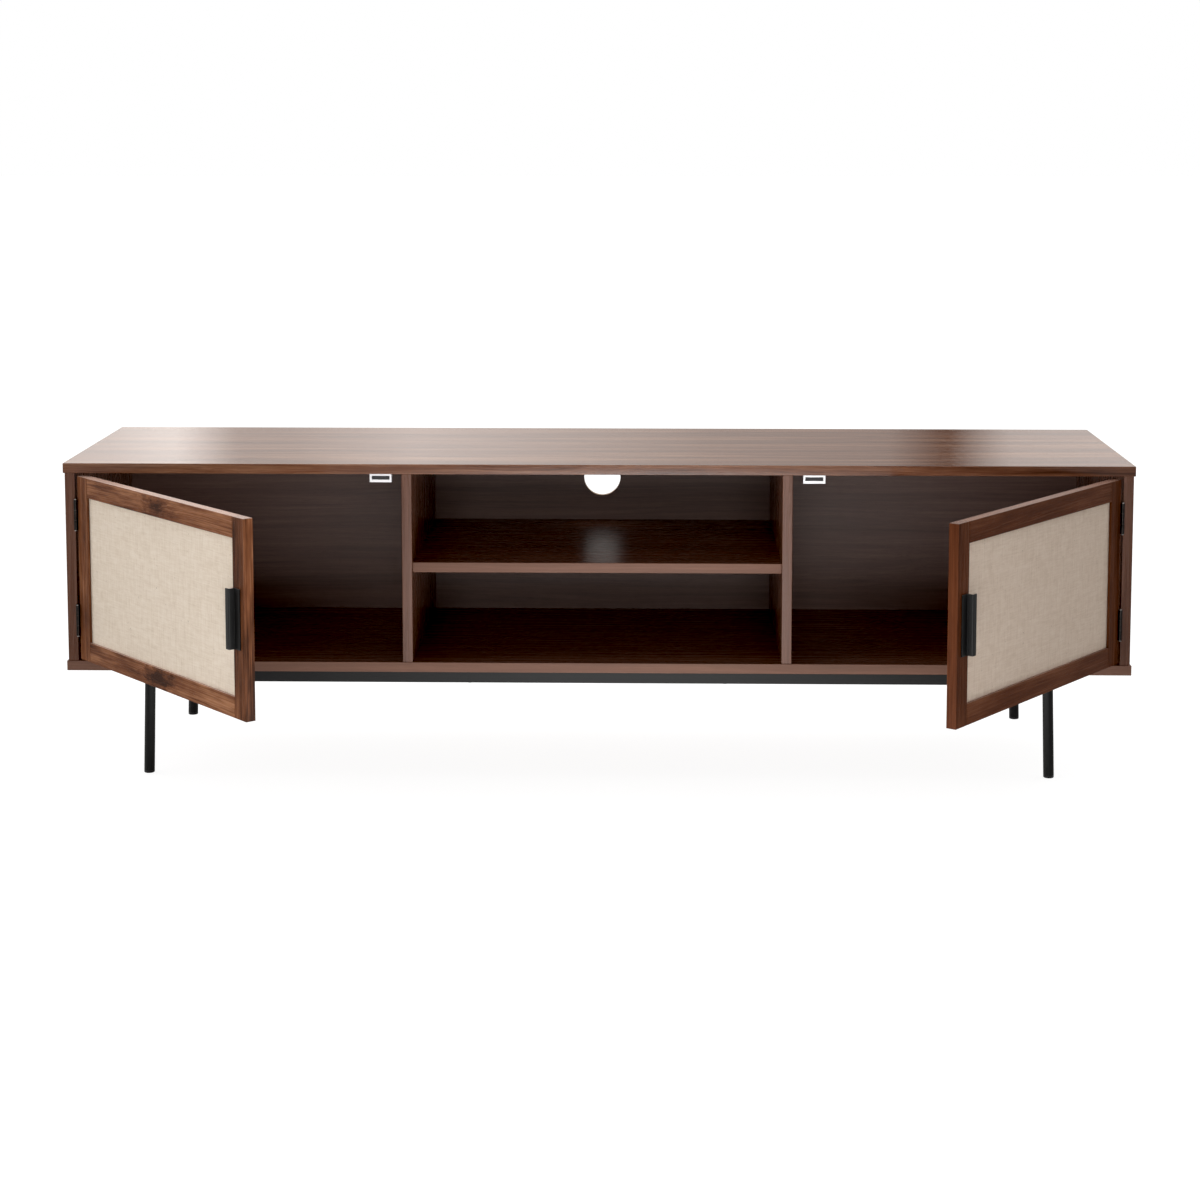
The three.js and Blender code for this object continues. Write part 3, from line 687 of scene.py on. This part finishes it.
def screw_shape(radius, height, shank_radius, shank_length, domed):
    """A screw that faces +Z from its seat at Z = 0, with a cross recess in its head."""
    shape = bmesh.new()
    if domed:
        head = [(1.0, 0.0), (1.0, 0.35), (0.94, 0.66), (0.82, 0.88), (0.66, 1.0)]
    else:
        head = [(1.0, 0.0), (1.0, 0.45), (0.93, 1.0)]
    profile = [(shank_radius, -shank_length), (shank_radius, 0.0)]
    profile += [(radius * across, height * up) for across, up in head]
    loops = [ring(shape, across, level, SCREW_SIDES) for across, level in profile]
    shape.faces.new(loops[0])
    for lower, upper in zip(loops, loops[1:]):
        skirt(shape, lower, upper)
    rim = cross_loop(shape, 0.52 * radius, 0.13 * radius, height)
    floor = cross_loop(shape, 0.40 * radius, 0.08 * radius, 0.25 * height)
    recess = skirt(shape, rim, floor)
    recess.append(shape.faces.new(floor))
    outline = loop_edges(shape, loops[-1]) + loop_edges(shape, rim)
    bmesh.ops.triangle_fill(shape, edges=outline, use_beauty=True)
    # The recess faces take the second material, painted dark as shade in the hollow.
    for face in recess:
        face.material_index = 1
    for face in shape.faces:
        face.smooth = False
    return shape


def add_screw(name, spot, facing, body, metals, head, shank=(0.8, 0.5), domed=False):
    """One screw with its seat at the spot. head is its radius and height, and shank its radius and length as
    shares of the head's radius."""
    radius, height = head
    shape = screw_shape(radius, height, shank[0] * radius, shank[1] * radius, domed)
    turn = facing.to_track_quat("Z", "Y").to_matrix().to_4x4()
    # Each recess stands at an angle of its own, set by the screw's place.
    spin = Matrix.Rotation(0.7 * (spot.x + 3 * spot.z) / (10 * MM), 4, "Z")
    bmesh.ops.transform(shape, matrix=Matrix.Translation(spot) @ turn @ spin, verts=shape.verts)
    obj = add_piece(name, shape, metals, body)
    obj.modifiers.new("smooth", "NODES").node_group = SMOOTH[40]
    for polygon in obj.data.polygons:
        polygon.use_smooth = True
    return obj


def add_hinge_screws(door, metals):
    """Two countersunk screws in each leaf of each hinge, hardly proud of it."""
    for level in ("upper", "lower"):
        for leaf in ("door", "side"):
            shut = leaf == "side"
            node = f"{door.body}_hinge_{leaf}_leaf_{level}"
            low, high = door.box(node, shut)
            face = high.x - LEAF_THICKNESS if leaf == "door" else SIDE_LEAF_FACE
            facing = door.direction(-1 if leaf == "door" else 1, 0, shut)
            depth = high.y - LEAF_SCREW_INSET
            for end, height in (("low", low.z + LEAF_SCREW_END), ("high", high.z - LEAF_SCREW_END)):
                spot = door.point(face, depth, height, shut)
                body = "carcass" if shut else door.body
                add_screw(f"{node}_screw_{end}", spot, facing, body, metals, HINGE_SCREW)


def add_handle_screws(door, metals):
    """Pan-headed screws that stand for the plain ones in the CAD."""
    for level in ("lower", "upper"):
        node = f"{door.body}_handle_screw_{level}"
        low, high = door.box(node)
        radius = (high.z - low.z) / 2
        seat = high.y - HANDLE_SCREW_HEIGHT
        spot = door.point((low.x + high.x) / 2, seat, (low.z + high.z) / 2)
        shank = (0.5, (seat - low.y) / radius)
        head = (radius, HANDLE_SCREW_HEIGHT)
        name = f"{node}_detailed"
        facing = door.direction(0, 1)
        screw = add_screw(name, spot, facing, door.body, metals, head, shank, domed=True)
        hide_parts(node)


def add_strike_screws(door, metals):
    node = f"{door.body}_strike_plate"
    low, high = door.box(node)
    for name, share in (("near", 0.2), ("far", 0.8)):
        spot = door.point(low.x + share * (high.x - low.x), high.y, (low.z + high.z) / 2)
        facing = door.direction(0, 1)
        add_screw(f"{node}_screw_{name}", spot, facing, door.body, metals, STRIKE_SCREW)


def add_catch_screws(door, metals):
    """A pan-headed screw through the slot in each ear of the catch."""
    node = f"{door.side}_catch_housing"
    low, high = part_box(node)
    middle = (low.x + high.x) / 2
    depth = high.y - CATCH_SLOT_INSET
    down = Vector((0, 0, -1))
    for name, sign in (("left", -1), ("right", 1)):
        spot = Vector((middle + sign * CATCH_EAR_REACH, depth, high.z - CATCH_SHEET))
        title = f"{node}_screw_{name}"
        add_screw(title, spot, down, "carcass", metals, CATCH_SCREW, domed=True)


def add_back_screws(metals):
    """Countersunk screws through the back panel into the dividers and the shelf."""
    low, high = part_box("back_panel")
    shelf_low, shelf_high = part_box("middle_shelf")
    level = (shelf_low.z + shelf_high.z) / 2
    spots = []
    for side in ("left", "right"):
        divider_low, divider_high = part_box(f"{side}_divider")
        across = (divider_low.x + divider_high.x) / 2
        spots += [(across, low.z + BACK_SCREW_END), (across, level), (across, high.z - BACK_SCREW_END)]
    spots += [(share * shelf_high.x, level) for share in (-0.5, 0.5)]
    for index, (across, height) in enumerate(spots, start=1):
        spot = Vector((across, high.y, height))
        name = f"back_panel_screw_{index}"
        add_screw(name, spot, Vector((0, 1, 0)), "carcass", metals, BACK_SCREW)


def add_base_screws(metals):
    """Pan heads under the long rails, which hold the base to the bottom panel."""
    down = Vector((0, 0, -1))
    for side in ("front", "rear"):
        low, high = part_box(f"base_{side}_rail")
        for index, share in enumerate((0.08, 0.36, 0.64, 0.92), start=1):
            spot = Vector((low.x + share * (high.x - low.x), (low.y + high.y) / 2, low.z))
            name = f"base_{side}_rail_screw_{index}"
            add_screw(name, spot, down, "carcass", metals, BASE_SCREW, domed=True)


def add_weld_bead(node, material):
    """A rippled fillet of weld where a leg meets its rail."""
    low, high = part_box(node)
    top_middle = (low.x + LEG_RADIUS if low.x > 0 else high.x - LEG_RADIUS, (low.y + high.y) / 2, high.z)
    shape = bmesh.new()
    loops = []
    for step in range(BEAD_AROUND):
        angle = 2 * math.pi * step / BEAD_AROUND
        uneven = noise.noise(Vector((4 * math.cos(angle), 4 * math.sin(angle), BEAD_SEED)))
        ripple = 1 + 0.10 * math.sin(BEAD_RIPPLES * angle) + 0.14 * uneven
        loop = []
        for corner in range(BEAD_SECTION):
            turn = 2 * math.pi * corner / BEAD_SECTION
            out = LEG_RADIUS + BEAD_STAND_OFF + BEAD_WIDTH * ripple * math.cos(turn)
            level = BEAD_HEIGHT * ripple * math.sin(turn) - BEAD_DROP
            loop.append(shape.verts.new((out * math.cos(angle), out * math.sin(angle), level)))
        loops.append(loop)
    for step in range(BEAD_AROUND):
        skirt(shape, loops[step - 1], loops[step])
    bmesh.ops.translate(shape, vec=top_middle, verts=shape.verts)
    bead = add_piece(f"{node}_weld_bead", shape, [material], "carcass")
    for polygon in bead.data.polygons:
        polygon.use_smooth = True


def add_peg_collar(node, material):
    """The flange of a shelf peg, against the divider."""
    low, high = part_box(node)
    sign = 1 if low.x > 0 else -1
    divider_low, divider_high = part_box("right_divider" if sign > 0 else "left_divider")
    face = divider_low.x if sign > 0 else divider_high.x
    shape = bmesh.new()
    profile = [
        (COLLAR_INNER, 0),
        (COLLAR_OUTER, 0),
        (COLLAR_OUTER, COLLAR_THICKNESS * 0.6),
        (COLLAR_OUTER - COLLAR_CHAMFER, COLLAR_THICKNESS),
        (COLLAR_INNER, COLLAR_THICKNESS),
    ]
    loops = [ring(shape, radius, level, 32) for radius, level in profile]
    for index in range(len(loops)):
        skirt(shape, loops[index - 1], loops[index])
    turn = Vector((-sign, 0, 0)).to_track_quat("Z", "Y").to_matrix().to_4x4()
    spot = Matrix.Translation((face, (low.y + high.y) / 2, (low.z + high.z) / 2))
    bmesh.ops.transform(shape, matrix=spot @ turn, verts=shape.verts)
    collar = add_piece(f"{node}_collar", shape, [material], "carcass")
    collar.modifiers.new("smooth", "NODES").node_group = SMOOTH[40]


# ---- Linen sheets -----------------------------------------------------------------------------------


def add_linen(door):
    """The linen of one door: a stretched sheet with slightly raised slubs, tucked into the frame."""
    node = f"{door.body}_linen_panel"
    low, high = door.box(node)
    width, length = high.x - low.x, high.z - low.z
    columns, rows = LINEN_GRID
    shape = bmesh.new()
    grid = []
    for row in range(rows + 1):
        up = length * row / rows
        line = []
        for column in range(columns + 1):
            across = width * column / columns
            border = min(across, width - across, up, length - up)
            free = min(1.0, max(0.0, (border - LINEN_TUCK) / LINEN_FADE))
            thread = noise.noise(Vector((across * 230, up * 26, 3.0)))
            thread += noise.noise(Vector((across * 26, up * 230, 9.0)))
            slack = noise.noise(Vector((across * 9, up * 9, 5.0 * door.inward)))
            lift = free * (THREAD_LIFT * thread + SLACK_LIFT * slack)
            line.append(shape.verts.new(door.point(low.x + across, low.y - lift, low.z + up)))
        grid.append(line)
    for row in range(rows):
        for column in range(columns):
            near, far = grid[row], grid[row + 1]
            corners = (near[column], near[column + 1], far[column + 1], far[column])
            shape.faces.new(corners if door.inward > 0 else reversed(corners))
    mesh = bpy.data.meshes.new(f"{door.side}_linen_sheet")
    shape.to_mesh(mesh)
    shape.free()
    # The right sheet takes the darker copy of the linen: painted shade for the dimmer light on that door.
    tones = LEFT_LINEN if door.side == "left" else SHADED_RIGHT_LINEN
    mesh.materials.append(linen(f"linen_{door.side}", (0, 0, -door.turn), tones))
    for polygon in mesh.polygons:
        polygon.use_smooth = True
    sheet = bpy.data.objects.new(f"{door.side}_linen_sheet", mesh)
    bpy.context.scene.collection.objects.link(sheet)
    thickness = sheet.modifiers.new("thickness", "SOLIDIFY")
    thickness.thickness = LINEN_THICKNESS
    thickness.offset = -1
    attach(sheet, door.body)
    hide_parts(node)


# ---- Studio -----------------------------------------------------------------------------------------

# How bright the studio is round the stand: degrees to the right of straight behind it, and the level.
SURROUND = (
    (-180, 2.60),
    (-172, 2.60),
    (-168, 0.10),
    (-150, 0.20),
    (-125, 1.50),
    (-100, 3.20),
    (-60, 2.40),
    (-13.0, 1.00),
    (-12.0, 1.55),
    (-10.2, 1.55),
    (-9.8, 0.50),
    (-5.7, 1.02),
    (-2.2, 0.75),
    (1.4, 0.50),
    (6.4, 0.38),
    (6.9, 0.02),
    (7.6, 0.02),
    (8.1, 0.80),
    (12.0, 0.88),
    (60, 0.70),
    (110, 0.60),
    (150, 0.15),
    (168, 0.10),
    (172, 2.60),
    (180, 2.60),
)
RING_TINT = (1.0, 0.965, 0.93)
OVERHEAD = 2.50  # behind and above the stand; nearly nothing comes from above its front
FRONT_OVERHEAD = 0.10

# The floor's glow, which lights the stand from below: level, and a brighter pool in front of the stand.
FLOOR_GLOW = 0.16
POOL_MIDDLE = (0.05, -1.7, 0.0)
POOL_REACH = (0.45, 1.30, 1.0)
POOL_GLOW = 5.7
SEEN_FLOOR = 0.92  # the glow that the camera sees, all over the floor
BLACK_LEVEL = 0.005

# The camera, from a fit to the photograph.
LENS = 72.7
LENS_SHIFT = -0.2
CAMERA_PLACE = (0.0827, -3.5812, 1.0155)
CAMERA_DIP = 6.045  # degrees below level
CAMERA_TURN = 1.249  # degrees to the left


def add_world():
    """A soft studio: a ring of light and dark that is plain white where the camera sees it."""
    world = bpy.data.worlds.new("studio")
    world.use_nodes = True
    graph = Graph(world.node_tree)
    x, y, z = graph.parts(graph.add("ShaderNodeTexCoord").outputs["Generated"])
    bearing = graph.math("ARCTAN2", x, y)
    share = graph.math("ADD", graph.math("DIVIDE", bearing, 2 * math.pi), 0.5)
    stops = [((degrees + 180) / 360, [level * tint for tint in RING_TINT]) for degrees, level in SURROUND]
    towards_front = graph.above(graph.math("MULTIPLY", y, -1.0), 0.0, 1.0)
    raised = graph.math("ADD", z, graph.math("MULTIPLY", towards_front, 0.12))
    height = graph.add("ShaderNodeMapRange", Value=raised, From_Min=0.30, From_Max=0.70).outputs[0]
    rear = graph.math("MULTIPLY", graph.above(y, -0.35, 1.4), OVERHEAD - FRONT_OVERHEAD)
    above = graph.math("ADD", rear, FRONT_OVERHEAD)
    dome = graph.blend(height, graph.ramp(share, *stops), graph.vector(above, above, above))
    seen = graph.add("ShaderNodeLightPath").outputs["Is Camera Ray"]
    graph.feed(world.node_tree.nodes["Background"].inputs["Color"], graph.blend(seen, dome, (1, 1, 1)))
    bpy.context.scene.world = world


def glowing_floor():
    """A pale floor that glows a little, so that shadows on it stay faint."""
    graph = Surface("pale_floor")
    mottling = graph.noise(graph.place, (1.5, 1.5, 1.5), detail=4)
    colour = graph.ramp(mottling, (0.3, (0.19, 0.19, 0.19)), (0.7, (0.21, 0.21, 0.21)))
    offset = graph.vector_math("DIVIDE", graph.vector_math("SUBTRACT", graph.place, POOL_MIDDLE), POOL_REACH)
    distance = graph.vector_math("LENGTH", offset)
    fading = graph.math("MULTIPLY", graph.math("MULTIPLY", distance, distance), -1.0)
    pool = graph.math("ADD", graph.math("MULTIPLY", graph.math("EXPONENT", fading), POOL_GLOW), FLOOR_GLOW)
    seen = graph.add("ShaderNodeLightPath").outputs["Is Camera Ray"]
    glow = graph.blend(seen, graph.vector(pool, pool, pool), (SEEN_FLOOR, SEEN_FLOOR, SEEN_FLOOR))
    return graph.finish(
        Base_Color=colour,
        Roughness=0.9,
        Specular_IOR_Level=0.0,
        Emission_Color=glow,
        Emission_Strength=1.0,
    )


def add_floor():
    mesh = bpy.data.meshes.new("floor")
    corners = [(x * FLOOR_REACH, y * FLOOR_REACH, 0) for x, y in ((-1, -1), (1, -1), (1, 1), (-1, 1))]
    mesh.from_pydata(corners, [], [(0, 1, 2, 3)])
    mesh.materials.append(glowing_floor())
    floor = bpy.data.objects.new("floor", mesh)
    bpy.context.scene.collection.objects.link(floor)


def add_camera():
    """A long lens a little above the stand and right of its middle, looking gently down."""
    data = bpy.data.cameras.new("camera")
    data.lens = LENS
    data.shift_y = LENS_SHIFT
    camera = bpy.data.objects.new("camera", data)
    camera.location = CAMERA_PLACE
    camera.rotation_euler = (math.radians(90 - CAMERA_DIP), 0, math.radians(CAMERA_TURN))
    bpy.context.scene.collection.objects.link(camera)
    bpy.context.scene.camera = camera


def set_colours():
    """Plain colours with slightly deepened blacks."""
    settings = bpy.context.scene.view_settings
    settings.view_transform = "Standard"
    settings.use_curve_mapping = True
    settings.curve_mapping.black_level = (BLACK_LEVEL, BLACK_LEVEL, BLACK_LEVEL)
    settings.curve_mapping.update()


hinge_metal = plated("hinge_steel", (0.022, 0.020, 0.019), (0.055, 0.050, 0.047), 0.42)
zinc = plated("bright_steel", (0.36, 0.35, 0.34), (0.56, 0.55, 0.54), 0.30)
aluminium = plated("catch_aluminium", (0.74, 0.74, 0.76), (0.88, 0.88, 0.90), 0.45)
black = powder_coat("black_coat")
recess = shadowed_recess("screw_recess")
backing = wood("door_backing", GRAIN_ALONG["z"], 31, BACKING, shine=0.42)
dress_nodes({
    "linen": backing,
    "door_backing": backing,
    "black_coat": black,
    "glide_plastic": moulded_plastic("glide_plastic"),
    "hinge_steel": hinge_metal,
    "bright_steel": zinc,
    "catch_aluminium": aluminium,
    "magnet_ferrite": ferrite("magnet_ferrite"),
})
for door in DOORS:
    add_linen(door)
    add_hinge_screws(door, [hinge_metal, recess])
    add_handle_screws(door, [zinc, recess])
    add_strike_screws(door, [aluminium, recess])
    add_catch_screws(door, [zinc, recess])
add_back_screws([zinc, recess])
add_base_screws([black, recess])
for end in ("front_left", "rear_left", "front_right", "rear_right"):
    add_weld_bead(f"leg_{end}", black)
for peg in ("left_front", "left_rear", "right_front", "right_rear"):
    add_peg_collar(f"shelf_peg_{peg}", zinc)
add_world()
add_floor()
add_camera()
set_colours()
